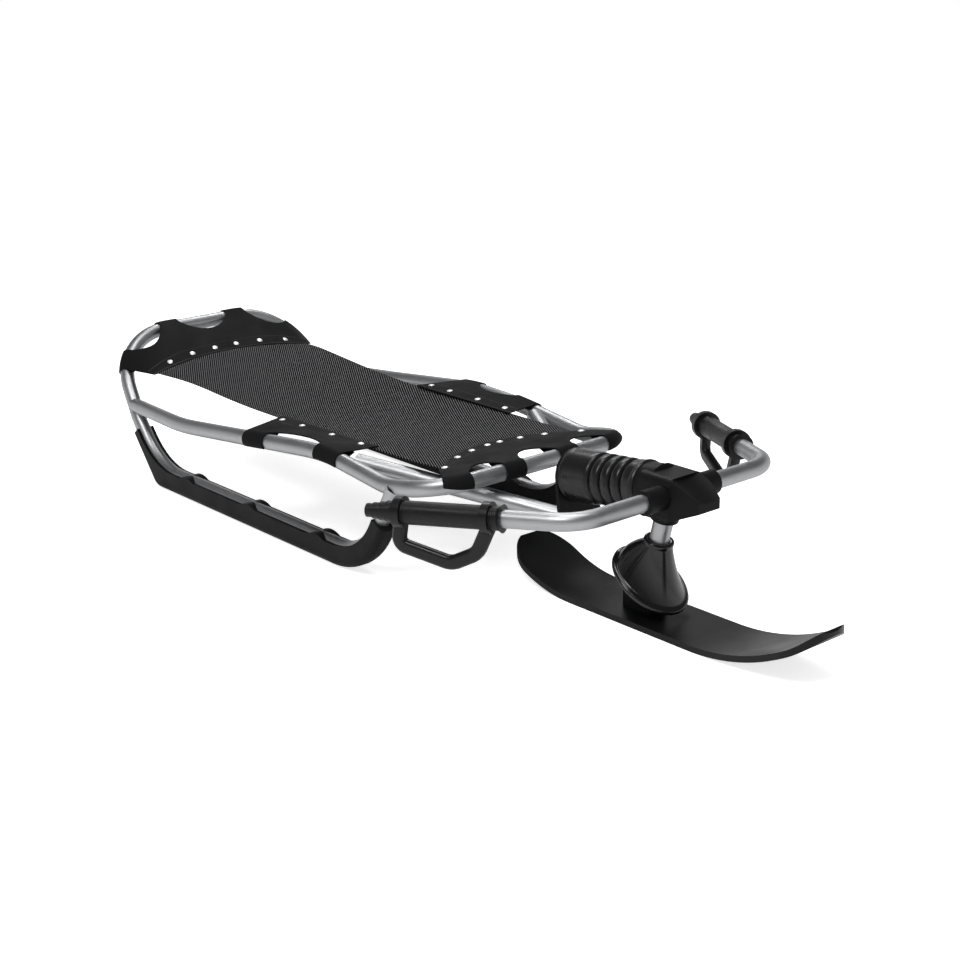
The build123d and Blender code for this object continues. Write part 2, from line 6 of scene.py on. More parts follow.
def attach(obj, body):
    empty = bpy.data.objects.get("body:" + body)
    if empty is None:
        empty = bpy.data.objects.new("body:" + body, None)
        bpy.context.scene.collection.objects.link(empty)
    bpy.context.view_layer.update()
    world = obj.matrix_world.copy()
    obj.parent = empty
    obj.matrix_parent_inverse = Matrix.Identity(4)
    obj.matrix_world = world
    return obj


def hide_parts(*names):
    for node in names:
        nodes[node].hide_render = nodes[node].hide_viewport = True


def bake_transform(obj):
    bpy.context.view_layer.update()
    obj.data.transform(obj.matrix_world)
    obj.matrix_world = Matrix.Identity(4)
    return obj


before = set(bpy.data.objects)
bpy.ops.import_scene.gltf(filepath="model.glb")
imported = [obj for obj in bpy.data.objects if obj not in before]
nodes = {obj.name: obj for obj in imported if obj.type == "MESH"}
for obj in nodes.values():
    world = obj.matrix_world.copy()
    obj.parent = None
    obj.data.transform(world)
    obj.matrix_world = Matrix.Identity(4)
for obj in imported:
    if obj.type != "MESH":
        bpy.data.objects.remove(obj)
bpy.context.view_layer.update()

# Camera, where the photographer stood: in front on the sled's right, looking down a little
camera_data = bpy.data.cameras.new("camera")
camera_data.sensor_width = 36.0
camera_data.lens = 63.59
camera_data.clip_start = 0.05
camera_data.clip_end = 60.0
camera = bpy.data.objects.new("camera", camera_data)
bpy.context.scene.collection.objects.link(camera)
camera.matrix_world = (
    Matrix.Translation((1.75585, -1.40675, 0.81622))
    @ Matrix.Rotation(math.radians(50.34), 4, "Z")
    @ Matrix.Rotation(math.radians(90.0 - 17.99), 4, "X")
    @ Matrix.Rotation(math.radians(-1.28), 4, "Z")
)
bpy.context.scene.camera = camera


# Studio: a white floor that runs into a white room with a dim ceiling, and large soft lamps overhead.
# The floor adds its own white to what the camera sees, so that it meets the room with no line.
def area_lamp(name, position, target, size, power):
    """A rectangular lamp at this position, aimed at the target."""
    lamp_data = bpy.data.lights.new(name, "AREA")
    lamp_data.shape = "RECTANGLE"
    lamp_data.size = size[0]
    lamp_data.size_y = size[1]
    lamp_data.energy = power
    lamp = bpy.data.objects.new(name, lamp_data)
    bpy.context.scene.collection.objects.link(lamp)
    way = Vector(target) - Vector(position)
    lamp.matrix_world = Matrix.Translation(position) @ way.to_track_quat("-Z", "Y").to_matrix().to_4x4()


area_lamp("key_lamp", (0.7, -1.5, 2.4), (0.0, 0.0, 0.1), (1.3, 0.8), 34.0)
area_lamp("fill_lamp", (-1.6, 1.3, 2.2), (0.0, 0.0, 0.1), (1.2, 0.8), 18.0)
area_lamp("top_lamp", (0.1, 0.1, 2.6), (0.1, 0.1, 0.0), (1.6, 0.7), 22.0)

world = bpy.data.worlds.new("studio")
bpy.context.scene.world = world
world.use_nodes = True
world_tree = world.node_tree
world_tree.nodes.clear()
world_out = world_tree.nodes.new("ShaderNodeOutputWorld")
world_light = world_tree.nodes.new("ShaderNodeBackground")
world_light.inputs["Color"].default_value = (1.0, 1.0, 1.0, 1.0)
world_light.inputs["Strength"].default_value = 0.42
world_seen = world_tree.nodes.new("ShaderNodeBackground")
world_seen.inputs["Color"].default_value = (1.0, 1.0, 1.0, 1.0)
world_room = world_tree.nodes.new("ShaderNodeBackground")
world_room.inputs["Strength"].default_value = 1.0
world_place = world_tree.nodes.new("ShaderNodeTexCoord")
world_height = world_tree.nodes.new("ShaderNodeSeparateXYZ")
world_ramp = world_tree.nodes.new("ShaderNodeValToRGB")
world_ramp.color_ramp.elements[0].position = 0.05
world_ramp.color_ramp.elements[0].color = (1.0, 1.0, 1.0, 1.0)
world_ramp.color_ramp.elements[1].position = 0.4
world_ramp.color_ramp.elements[1].color = (0.12, 0.12, 0.12, 1.0)
world_path = world_tree.nodes.new("ShaderNodeLightPath")
world_mix = world_tree.nodes.new("ShaderNodeMixShader")
world_mirror = world_tree.nodes.new("ShaderNodeMixShader")
seen_through = world_tree.nodes.new("ShaderNodeMath")
seen_through.operation = "MAXIMUM"
world_tree.links.new(world_place.outputs["Generated"], world_height.inputs[0])
world_tree.links.new(world_height.outputs["Z"], world_ramp.inputs["Fac"])
world_tree.links.new(world_ramp.outputs["Color"], world_room.inputs["Color"])
world_tree.links.new(world_path.outputs["Is Camera Ray"], seen_through.inputs[0])
world_tree.links.new(world_path.outputs["Is Transmission Ray"], seen_through.inputs[1])
world_tree.links.new(seen_through.outputs[0], world_mix.inputs[0])
world_tree.links.new(world_path.outputs["Is Glossy Ray"], world_mirror.inputs[0])
world_tree.links.new(world_light.outputs[0], world_mirror.inputs[1])
world_tree.links.new(world_room.outputs[0], world_mirror.inputs[2])
world_tree.links.new(world_mirror.outputs[0], world_mix.inputs[1])
world_tree.links.new(world_seen.outputs[0], world_mix.inputs[2])
world_tree.links.new(world_mix.outputs[0], world_out.inputs["Surface"])

floor_half = 12.0
floor_corners = [(x * floor_half, y * floor_half, 0) for x, y in ((-1, -1), (1, -1), (1, 1), (-1, 1))]
floor_mesh = bpy.data.meshes.new("floor")
floor_mesh.from_pydata(floor_corners, [], [(0, 1, 2, 3)])
floor = bpy.data.objects.new("floor", floor_mesh)
bpy.context.scene.collection.objects.link(floor)
floor_paint = bpy.data.materials.new("floor_paint")
floor_paint.use_nodes = True
floor_tree = floor_paint.node_tree
floor_shader = floor_tree.nodes["Principled BSDF"]
floor_shader.inputs["Base Color"].default_value = (0.93, 0.93, 0.93, 1.0)
floor_shader.inputs["Roughness"].default_value = 0.9
floor_shader.inputs["Specular IOR Level"].default_value = 0.1
floor_glow = floor_tree.nodes.new("ShaderNodeEmission")
floor_glow.inputs["Color"].default_value = (1.0, 1.0, 1.0, 1.0)
floor_path = floor_tree.nodes.new("ShaderNodeLightPath")
floor_amount = floor_tree.nodes.new("ShaderNodeMath")
floor_amount.operation = "MULTIPLY"
floor_amount.inputs[1].default_value = 0.74
floor_sum = floor_tree.nodes.new("ShaderNodeAddShader")
floor_out = floor_tree.nodes["Material Output"]
floor_tree.links.new(floor_path.outputs["Is Camera Ray"], floor_amount.inputs[0])
floor_tree.links.new(floor_amount.outputs[0], floor_glow.inputs["Strength"])
floor_tree.links.new(floor_shader.outputs[0], floor_sum.inputs[0])
floor_tree.links.new(floor_glow.outputs[0], floor_sum.inputs[1])
floor_tree.links.new(floor_sum.outputs[0], floor_out.inputs["Surface"])
floor_mesh.materials.append(floor_paint)
bpy.context.scene.view_settings.view_transform = "Standard"


# Frame tubes, handlebar and steering post: drawn aluminium tube, bent cold, welded and polished to a satin.
# Handling leaves the sheen a little uneven.
def new_finish(name, colour, roughness, metallic=0.0, specular=0.5):
    """A plain material of this colour and surface."""
    finish = bpy.data.materials.new(name)
    finish.use_nodes = True
    shader = finish.node_tree.nodes["Principled BSDF"]
    shader.inputs["Base Color"].default_value = (*colour, 1.0)
    shader.inputs["Roughness"].default_value = roughness
    shader.inputs["Metallic"].default_value = metallic
    shader.inputs["Specular IOR Level"].default_value = specular
    return finish


def add_grain(finish, scale, strength, depth, detail=3.0):
    """Fine bumps of the material itself, on Object coordinates."""
    tree = finish.node_tree
    where = tree.nodes.new("ShaderNodeTexCoord")
    noise = tree.nodes.new("ShaderNodeTexNoise")
    noise.inputs["Scale"].default_value = scale
    noise.inputs["Detail"].default_value = detail
    bump = tree.nodes.new("ShaderNodeBump")
    bump.inputs["Strength"].default_value = strength
    bump.inputs["Distance"].default_value = depth
    tree.links.new(where.outputs["Object"], noise.inputs["Vector"])
    tree.links.new(noise.outputs["Fac"], bump.inputs["Height"])
    tree.links.new(bump.outputs["Normal"], tree.nodes["Principled BSDF"].inputs["Normal"])


def vary(finish, socket, scale, low, high):
    """A slow change over the surface of a value such as the roughness."""
    tree = finish.node_tree
    where = tree.nodes.new("ShaderNodeTexCoord")
    noise = tree.nodes.new("ShaderNodeTexNoise")
    noise.inputs["Scale"].default_value = scale
    spread = tree.nodes.new("ShaderNodeMapRange")
    spread.inputs["From Min"].default_value = 0.3
    spread.inputs["From Max"].default_value = 0.7
    spread.inputs["To Min"].default_value = low
    spread.inputs["To Max"].default_value = high
    tree.links.new(where.outputs["Object"], noise.inputs["Vector"])
    tree.links.new(noise.outputs["Fac"], spread.inputs["Value"])
    tree.links.new(spread.outputs["Result"], tree.nodes["Principled BSDF"].inputs[socket])


def dress(names, finish):
    """Gives pieces of the frame this finish."""
    for name in names:
        mesh = nodes[name].data
        mesh.materials.clear()
        mesh.materials.append(finish)


satin_aluminium = new_finish("satin_aluminium", (0.42, 0.425, 0.435), 0.42, 1.0)
vary(satin_aluminium, "Roughness", 60.0, 0.38, 0.46)
dress(["runner_tube", "side_tube", "strut_right", "strut_left"], satin_aluminium)
dress(["handlebar", "steering_post"], satin_aluminium)

# Runner covers, guards, housing and hinge: black nylon, injection moulded with a fine sparked grain. The
# covers and guards are pushed on over the tubes. The head plate and stem in the bellows are painted black.
grained_nylon = new_finish("grained_nylon", (0.007, 0.007, 0.0075), 0.42, specular=0.1)
vary(grained_nylon, "Roughness", 30.0, 0.38, 0.5)
add_grain(grained_nylon, 1100.0, 0.15, 0.0001)
dress(["runner_cover_right", "runner_cover_left"], grained_nylon)
dress(["steering_housing", "boot_hinge", "head_stem"], grained_nylon)

guard_nylon = new_finish("guard_nylon", (0.006, 0.006, 0.0065), 0.3, specular=0.3)
vary(guard_nylon, "Roughness", 40.0, 0.26, 0.36)
add_grain(guard_nylon, 900.0, 0.12, 0.0002)
dress(["hand_guard_right", "hand_guard_left"], guard_nylon)

# Ski: black polyethylene, moulded in one piece and turned up at both ends. It has a soft sheen and the
# slight waves of a large flat moulding.
ski_polyethylene = new_finish("ski_polyethylene", (0.006, 0.006, 0.0065), 0.36, specular=0.22)
vary(ski_polyethylene, "Roughness", 18.0, 0.32, 0.44)
add_grain(ski_polyethylene, 240.0, 0.08, 0.0003)
dress(["ski"], ski_polyethylene)


# Grips: black rubber sleeves with fine ribs round them and a stepped cone at the tip. They are pushed and
# glued on to the ends of the handlebar.
def stripes(finish, direction, pitch, depth):
    """Ribs across a straight line in Object coordinates."""
    tree = finish.node_tree
    where = tree.nodes.new("ShaderNodeTexCoord")
    along = tree.nodes.new("ShaderNodeVectorMath")
    along.operation = "DOT_PRODUCT"
    along.inputs[1].default_value = direction
    turn = tree.nodes.new("ShaderNodeMath")
    turn.operation = "MULTIPLY"
    turn.inputs[1].default_value = 2 * math.pi / pitch
    wave = tree.nodes.new("ShaderNodeMath")
    wave.operation = "SINE"
    bump = tree.nodes.new("ShaderNodeBump")
    bump.inputs["Strength"].default_value = 0.8
    bump.inputs["Distance"].default_value = depth
    tree.links.new(where.outputs["Object"], along.inputs[0])
    tree.links.new(along.outputs["Value"], turn.inputs[0])
    tree.links.new(turn.outputs[0], wave.inputs[0])
    tree.links.new(wave.outputs[0], bump.inputs["Height"])
    tree.links.new(bump.outputs["Normal"], tree.nodes["Principled BSDF"].inputs["Normal"])


grip_rib_pitch = 0.0024
grip_rib_depth = 0.00012
# how far the left grip runs forward, outward and up, in metres
grip_run = (-0.239, 0.122, -0.014)
for hand, name in ((-1, "grip_right"), (1, "grip_left")):
    grip_rubber = new_finish(name + "_rubber", (0.007, 0.007, 0.0075), 0.36, specular=0.25)
    vary(grip_rubber, "Roughness", 50.0, 0.3, 0.42)
    grip_way = Vector((grip_run[0], hand * grip_run[1], grip_run[2])).normalized()
    stripes(grip_rubber, grip_way, grip_rib_pitch, grip_rib_depth)
    dress([name], grip_rubber)


# Seat: a woven mesh of coated yarn, cut on the bias so that its ribs run aslant. It hangs as a sling, and
# is sewn and riveted under the four panels.
origin_x = 617.45


def place(x, y, z):
    """A point of the model from millimetres, x counted forward from a datum under the rear panel."""
    return Vector(((x - origin_x) / 1000, y / 1000, z / 1000))


def between(table, x, column):
    """The table's value in this column at x, on straight lines between its rows."""
    if x <= table[0][0]:
        return table[0][column]
    for before, after in zip(table, table[1:]):
        if x <= after[0]:
            share = (x - before[0]) / (after[0] - before[0])
            return before[column] + (after[column] - before[column]) * share
    return table[-1][column]


def new_piece(name, points, faces, finish):
    """A smooth-shaded mesh of these points and faces, in the scene."""
    mesh = bpy.data.meshes.new(name)
    mesh.from_pydata([tuple(point) for point in points], [], faces)
    mesh.materials.append(finish)
    mesh.polygons.foreach_set("use_smooth", [True] * len(mesh.polygons))
    mesh.update()
    piece = bpy.data.objects.new(name, mesh)
    bpy.context.scene.collection.objects.link(piece)
    return piece


def settle(piece):
    """Applies a piece's modifiers, so that what it carries is a plain mesh."""
    shown = piece.evaluated_get(bpy.context.evaluated_depsgraph_get())
    mesh = bpy.data.meshes.new_from_object(shown)
    piece.modifiers.clear()
    piece.data = mesh


def thicken(piece, thickness, rim=0.0):
    """Gives a skin a wall about its middle, with rounded edges where a rim is given."""
    wall = piece.modifiers.new("wall", "SOLIDIFY")
    wall.thickness = thickness
    wall.offset = 0.0
    if rim:
        edge = piece.modifiers.new("rim", "BEVEL")
        edge.width = rim
        edge.segments = 2
        edge.limit_method = "ANGLE"
        edge.angle_limit = math.radians(50)
        edge.harden_normals = False


def set_ways(piece, ways):
    """Each point's own place on the flat cloth, in metres, for the pattern."""
    layer = piece.data.attributes.new("cloth", "FLOAT_VECTOR", "POINT")
    layer.data.foreach_set("vector", [value for way in ways for value in (way[0], way[1], 0.0)])


# x, half width, edge height, height along the middle
seat_line = (
    (34.0, 142.0, 162.5, 176.0),
    (92.0, 140.0, 164.5, 166.5),
    (134.0, 135.0, 164.0, 158.5),
    (182.0, 132.0, 161.5, 150.0),
    (224.0, 131.0, 158.5, 142.5),
    (258.0, 130.0, 156.5, 136.8),
    (300.0, 128.5, 154.5, 131.4),
    (330.0, 127.5, 153.8, 130.2),
    (371.0, 126.0, 153.2, 132.0),
    (450.0, 125.5, 153.8, 137.2),
    (592.0, 123.0, 155.0, 147.0),
    (690.0, 121.0, 155.6, 153.5),
    (744.0, 118.0, 158.0, 158.0),
)


def smooth_line(table, x, column, reach=22.0):
    """The table's value, rounded off over its corners."""
    steps = 8
    total = 0.0
    for step in range(-steps, steps + 1):
        total += between(table, x + reach * step / steps, column)
    return total / (2 * steps + 1)


seat_columns = 120
seat_rows = 60
seat_lift_power = 2.3
ripple_height = 0.3
ripple_reach = 17.0
seat_points = []
seat_ways = []
for column in range(seat_columns + 1):
    x = seat_line[0][0] + (seat_line[-1][0] - seat_line[0][0]) * column / seat_columns
    half = smooth_line(seat_line, x, 1)
    edge_z = smooth_line(seat_line, x, 2)
    middle_z = smooth_line(seat_line, x, 3)
    for row in range(seat_rows + 1):
        across = 2 * row / seat_rows - 1
        y = half * across
        z = middle_z + (edge_z - middle_z) * abs(across) ** seat_lift_power
        z += ripple_height * math.sin(x / ripple_reach + across * 2.0) * (1 - across**2)
        seat_points.append(place(x, y, z))
        seat_ways.append((x / 1000, y / 1000))
seat_faces = []
for column in range(seat_columns):
    for row in range(seat_rows):
        first = column * (seat_rows + 1) + row
        seat_faces.append((first, first + seat_rows + 1, first + seat_rows + 2, first + 1))

seat_weave = new_finish("seat_weave", (0.006, 0.006, 0.0065), 0.55, specular=0.004)
weave_tree = seat_weave.node_tree
weave_shader = weave_tree.nodes["Principled BSDF"]
weave_place = weave_tree.nodes.new("ShaderNodeAttribute")
weave_place.attribute_name = "cloth"


def weave_wave(direction, pitch):
    """A wave of the weave across this direction of the cloth, from 0 to 1."""
    along = weave_tree.nodes.new("ShaderNodeVectorMath")
    along.operation = "DOT_PRODUCT"
    along.inputs[1].default_value = (direction[0] * math.tau / pitch, direction[1] * math.tau / pitch, 0.0)
    wave = weave_tree.nodes.new("ShaderNodeMath")
    wave.operation = "SINE"
    lift = weave_tree.nodes.new("ShaderNodeMath")
    lift.operation = "MULTIPLY_ADD"
    lift.inputs[1].default_value = 0.5
    lift.inputs[2].default_value = 0.5
    weave_tree.links.new(weave_place.outputs["Vector"], along.inputs[0])
    weave_tree.links.new(along.outputs["Value"], wave.inputs[0])
    weave_tree.links.new(wave.outputs[0], lift.inputs[0])
    return lift


rib_slant = math.radians(29.5)
rib_pitch = 0.0032
yarn_pitch = 0.0017
rib_wave = weave_wave((math.sin(rib_slant), math.cos(rib_slant)), rib_pitch)
yarn_wave = weave_wave((math.cos(rib_slant), -math.sin(rib_slant)), yarn_pitch)
rib_edge = weave_tree.nodes.new("ShaderNodeMapRange")
rib_edge.interpolation_type = "SMOOTHSTEP"
rib_edge.inputs["From Min"].default_value = 0.7
rib_edge.inputs["From Max"].default_value = 0.95
yarn_edge = weave_tree.nodes.new("ShaderNodeMapRange")
yarn_edge.inputs["From Min"].default_value = 0.1
yarn_edge.inputs["From Max"].default_value = 0.6
yarn_edge.inputs["To Min"].default_value = 0.35
# One rib mask gives both the ribs' bump and a painted highlight: the base colour is painted light on the
# ribs, standing in for the shine of the glossy yarn, and stays near black between them.
rib_relief_and_highlight = weave_tree.nodes.new("ShaderNodeMath")
rib_relief_and_highlight.operation = "MULTIPLY"
weave_painted_highlight = weave_tree.nodes.new("ShaderNodeMix")
weave_painted_highlight.data_type = "RGBA"
weave_painted_highlight.inputs["A"].default_value = (0.004, 0.004, 0.0045, 1.0)
# the painted highlight's colour on the ribs
weave_painted_highlight.inputs["B"].default_value = (0.24, 0.24, 0.245, 1.0)
weave_bump = weave_tree.nodes.new("ShaderNodeBump")
weave_bump.inputs["Strength"].default_value = 0.5
weave_bump.inputs["Distance"].default_value = 0.0006
weave_tree.links.new(rib_wave.outputs[0], rib_edge.inputs["Value"])
weave_tree.links.new(yarn_wave.outputs[0], yarn_edge.inputs["Value"])
weave_tree.links.new(rib_edge.outputs["Result"], rib_relief_and_highlight.inputs[0])
weave_tree.links.new(yarn_edge.outputs["Result"], rib_relief_and_highlight.inputs[1])
weave_tree.links.new(rib_relief_and_highlight.outputs[0], weave_painted_highlight.inputs["Factor"])
weave_tree.links.new(weave_painted_highlight.outputs["Result"], weave_shader.inputs["Base Color"])
weave_tree.links.new(rib_relief_and_highlight.outputs[0], weave_bump.inputs["Height"])
weave_tree.links.new(weave_bump.outputs["Normal"], weave_shader.inputs["Normal"])

mesh_thickness = 0.0012
seat_sling = new_piece("seat_sling", seat_points, seat_faces, seat_weave)
set_ways(seat_sling, seat_ways)
thicken(seat_sling, mesh_thickness)
settle(seat_sling)
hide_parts("seat_mesh")
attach(seat_sling, "frame")


# Rear panel: black coated fabric, cut in one piece with four tabs that are turned round the hoop and closed
# under the panel. Its front hem is stitched in two rows and riveted to the mesh.
def bent_path(corners, bends):
    """Points along the middle of a bent tube, its straight runs joined by arcs."""
    points = [corners[0]]
    for before, corner, after, bend in zip(corners, corners[1:], corners[2:], bends):
        back = (before - corner).normalized()
        ahead = (after - corner).normalized()
        turn = math.pi - back.angle(ahead)
        reach = bend * math.tan(turn / 2)
        centre = corner + (back + ahead).normalized() * bend / math.cos(turn / 2)
        spoke = corner + back * reach - centre
        hinge = spoke.cross(corner + ahead * reach - centre).normalized()
        steps = max(2, int(math.degrees(turn) / 2))
        for step in range(steps + 1):
            points.append(centre + Quaternion(hinge, turn * step / steps) @ spoke)
    points.append(corners[-1])
    return points


def walk(points, distance):
    """The point and direction at this distance along a path."""
    for before, after in zip(points, points[1:]):
        run = after - before
        if distance <= run.length or after is points[-1]:
            return before + run.normalized() * distance, run.normalized()
        distance -= run.length


def run_length(points):
    """The length of a path."""
    return sum((after - before).length for before, after in zip(points, points[1:]))


black_vinyl = new_finish("black_vinyl", (0.010, 0.010, 0.0105), 0.46, specular=0.02)
vary(black_vinyl, "Roughness", 25.0, 0.4, 0.54)
add_grain(black_vinyl, 700.0, 0.3, 0.0003, 5.0)
tab_radius = 0.0124
vinyl_thickness = 0.0016
vinyl_rim = 0.0003
scallop_power = 0.8
tail_share = 0.66
tail_drop = 1.3 * vinyl_thickness


def hanger(name, tube, middle, columns, tabs, hem, scallop_depth, flip):
    """A panel from its hem straight to a tube's top, and at the tabs round it and back underneath.

    columns are distances along the tube from its middle, and hem gives the hem's point for each of them.
    Returns the piece, the length and width of its cut, and its flat area."""
    flat_rows = 16
    wrap_rows = 26
    tail_rows = 4
    points = []
    ways = []
    grid = []
    for distance in columns:
        centre, along = walk(tube, middle + distance)
        inner = hem(distance)
        away = inner - centre
        away = away - along * away.dot(along)
        lift = math.acos(tab_radius / away.length)
        away.normalize()
        spoke_up = Quaternion(along, lift) @ away
        spoke_down = Quaternion(along, -lift) @ away
        turn_sign = 1.0
        if spoke_up.z < spoke_down.z:
            spoke_up = spoke_down
            turn_sign = -1.0
        top = centre + spoke_up * tab_radius
        reach_in = (top - inner).length
        tab = next((pair for pair in tabs if pair[0] <= distance <= pair[1]), None)
        share = 1.0
        if tab is None:
            low = max((pair[1] for pair in tabs if pair[1] < distance), default=columns[0])
            high = min((pair[0] for pair in tabs if pair[0] > distance), default=columns[-1])
            across = (2 * distance - low - high) / (high - low)
            share = 1.0 - scallop_depth * max(0.0, 1.0 - across**2) ** scallop_power
        column = []
        for row in range(flat_rows + 1):
            step = share * row / flat_rows
            column.append(len(points))
            points.append(inner.lerp(top, step))
            ways.append((distance, reach_in * step))
        if tab is not None:
            under = (top - inner).cross(along).normalized()
            if under.z > 0:
                under.negate()
            close = inner.lerp(top, tail_share) + under * tail_drop
            reach = close - centre
            reach = reach - along * reach.dot(along)
            down = math.acos(min(1.0, tab_radius / reach.length))
            spoke_end = Quaternion(along, -down * turn_sign) @ reach.normalized()
            sweep = math.tau - spoke_up.angle(spoke_end)
            if spoke_up.cross(spoke_end).dot(along) * turn_sign < 0:
                sweep = spoke_up.angle(spoke_end)
            for row in range(1, wrap_rows + 1):
                spoke = Quaternion(along, turn_sign * sweep * row / wrap_rows) @ spoke_up
                column.append(len(points))
                points.append(centre + spoke * tab_radius)
                ways.append((distance, reach_in + tab_radius * sweep * row / wrap_rows))
            last = points[-1]
            tail = (close - last).length
            for row in range(1, tail_rows + 1):
                step = row / tail_rows
                column.append(len(points))
                points.append(last.lerp(close, step))
                ways.append((distance, reach_in + tab_radius * sweep + tail * step))
        grid.append(column)
    faces = []
    for left, right in zip(grid, grid[1:]):
        for row in range(min(len(left), len(right)) - 1):
            face = (left[row], right[row], right[row + 1], left[row + 1])
            faces.append(face[::-1] if flip else face)
    piece = new_piece(name, points, faces, black_vinyl)
    set_ways(piece, ways)
    cut = (columns[-1] - columns[0], max(way[1] for way in ways))
    return piece, cut, sum(face.area for face in piece.data.polygons)


def spread(low, high, tabs, step=0.0025):
    """Distances along a tube, close together at the edges of the tabs."""
    marks = sorted({low, high, *(value for pair in tabs for value in pair if low < value < high)})
    found = []
    for before, after in zip(marks, marks[1:]):
        count = max(4, int((after - before) / step))
        for index in range(count):
            share = index / count
            share = 0.5 - 0.5 * math.cos(math.pi * share)
            found.append(before + (after - before) * share)
    return found + [high]


def on_panel(tube, middle, hem, distance, share):
    """A point on a panel's top face at this share of its way from the hem to the tube, and its facing."""
    centre, along = walk(tube, middle + distance)
    inner = hem(distance)
    top = centre + Vector((0, 0, tab_radius))
    facing = (top - inner).cross(along).normalized()
    if facing.z < 0:
        facing = -facing
    return inner.lerp(top, share) + facing * vinyl_thickness / 2, facing


def hem_at(line, distance, rounding):
    """A cross hem's point at this distance along its tube, the same on both sides of the middle."""
    reach = abs(distance) * 1000
    side = -1 if distance < 0 else 1
    x = smooth_line(line, reach, 2, rounding)
    z = smooth_line(line, reach, 3, rounding)
    return place(x, side * between(line, reach, 1), z)


hoop_bend = 0.105
hoop_corners = [place(52, -176, 95), place(-41, -159, 207), place(-41, 159, 207), place(52, 176, 95)]
hoop_tube = bent_path(hoop_corners, [hoop_bend, hoop_bend])
hoop_middle = run_length(hoop_tube) / 2
rear_tabs = [(-0.188, -0.154), (-0.079, -0.045), (0.045, 0.079), (0.154, 0.188)]
# distance along the hoop, the hem's y, x and z
rear_hem_line = (
    (0.0, 0.0, 45.0, 174.0),
    (45.0, 43.0, 47.0, 173.2),
    (79.0, 76.0, 50.5, 171.2),
    (130.0, 112.0, 56.0, 167.6),
    (154.0, 127.0, 58.5, 165.6),
    (188.0, 148.0, 62.5, 163.2),
)


def rear_hem(distance):
    return hem_at(rear_hem_line, distance, 8.0)


rear_scallop = 0.34
rear_columns = spread(rear_tabs[0][0], rear_tabs[-1][1], rear_tabs)
rear_hanger, rear_cut, rear_area = hanger(
    "rear_hanger", hoop_tube, hoop_middle, rear_columns, rear_tabs, rear_hem, rear_scallop, False
)
thicken(rear_hanger, vinyl_thickness, vinyl_rim)
settle(rear_hanger)
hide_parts("rear_panel")
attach(rear_hanger, "frame")

# Front panel: the same coated fabric, cut with a curved rear hem that is riveted to the mesh. Its four tabs
# are turned round the cross bar and closed under the panel.
bar_bend = 0.062
bar_corners = [place(700, -172, 135), place(797, -172, 153), place(797, 172, 153), place(700, 172, 135)]
bar_tube = bent_path(bar_corners, [bar_bend, bar_bend])
bar_middle = run_length(bar_tube) / 2
front_tabs = [(-0.152, -0.117), (-0.0635, -0.0305), (0.0305, 0.0635), (0.117, 0.152)]
# distance along the bar, the hem's y, x and z
front_hem_line = (
    (0.0, 0.0, 690.0, 157.4),
    (60.5, 54.0, 701.0, 158.0),
    (100.0, 88.0, 719.0, 158.8),
    (117.0, 104.0, 733.0, 159.6),
    (152.0, 132.0, 756.0, 161.0),
)


def front_hem(distance):
    return hem_at(front_hem_line, distance, 12.0)


front_scallop = 0.27
front_columns = spread(front_tabs[0][0], front_tabs[-1][1], front_tabs)
front_hanger, front_cut, front_area = hanger(
    "front_hanger", bar_tube, bar_middle, front_columns, front_tabs, front_hem, front_scallop, True
)
thicken(front_hanger, vinyl_thickness, vinyl_rim)
settle(front_hanger)
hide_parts("front_panel")
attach(front_hanger, "frame")

# Side panels: the same coated fabric, each with a straight hem along the mesh, stitched in two rows and
# riveted. Each has two tabs turned round its rail and closed under the panel.
rail_bends = (0.5, 0.45, 0.35, 0.12)
# x, outward y and z of the rail's corners
rail_corners = (
    (36.2, 173.1, 114.0),
    (225.0, 198.0, 124.0),
    (430.0, 197.0, 146.0),
    (560.0, 174.0, 151.5),
    (700.0, 172.0, 135.0),
    (797.0, 172.0, 153.0),
)
side_tabs_x = ((408.0, 452.0), (551.0, 598.0))
side_scallop = 0.24
side_rivet_shares = (0.06, 0.28, 0.6, 0.9)
side_rivet_share = 0.2
side_stitch_count = 60
side_stitch_shares = (0.06, 0.34)
side_rivets = []
side_stitches = []
# x, the hem's outward y and z
side_line = (
    (384.0, 122.0, 156.2),
    (412.0, 119.5, 156.0),
    (500.0, 119.0, 156.6),
    (560.0, 118.0, 157.0),
    (604.0, 116.0, 157.4),
)
for hand, side in ((-1, "right"), (1, "left")):
    rail_tube = bent_path([place(x, hand * y, z) for x, y, z in rail_corners], rail_bends)
    marks = [walk(rail_tube, step / 1000) for step in range(int(run_length(rail_tube) * 1000))]

    def rail_distance(x):
        """The distance along the rail at which it reaches this x, to a millimetre."""
        return next(step for step, mark in enumerate(marks) if mark[0].x >= place(x, 0, 0).x) / 1000

    side_tabs = [(rail_distance(rear_x), rail_distance(front_x)) for rear_x, front_x in side_tabs_x]
    side_start = side_tabs[0][0]
    side_end = side_tabs[-1][1]
    side_run = side_end - side_start

    def side_hem(distance):
        x = side_line[0][0] + (side_line[-1][0] - side_line[0][0]) * (distance - side_start) / side_run
        return place(x, hand * smooth_line(side_line, x, 1, 10.0), smooth_line(side_line, x, 2, 10.0))

    side_columns = spread(side_start, side_end, side_tabs)
    side_hanger, side_cut, side_area = hanger(
        "side_hanger_" + side, rail_tube, 0.0, side_columns, side_tabs, side_hem, side_scallop, hand < 0
    )
    thicken(side_hanger, vinyl_thickness, vinyl_rim)
    settle(side_hanger)
    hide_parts("side_panel_" + side)
    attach(side_hanger, "frame")
    for along_share in side_rivet_shares:
        distance = side_start + side_run * along_share
        side_rivets.append(on_panel(rail_tube, 0.0, side_hem, distance, side_rivet_share))
    for step in range(side_stitch_count):
        distance = side_start + side_run * step / side_stitch_count
        for share in side_stitch_shares:
            side_stitches.append(on_panel(rail_tube, 0.0, side_hem, distance, share))


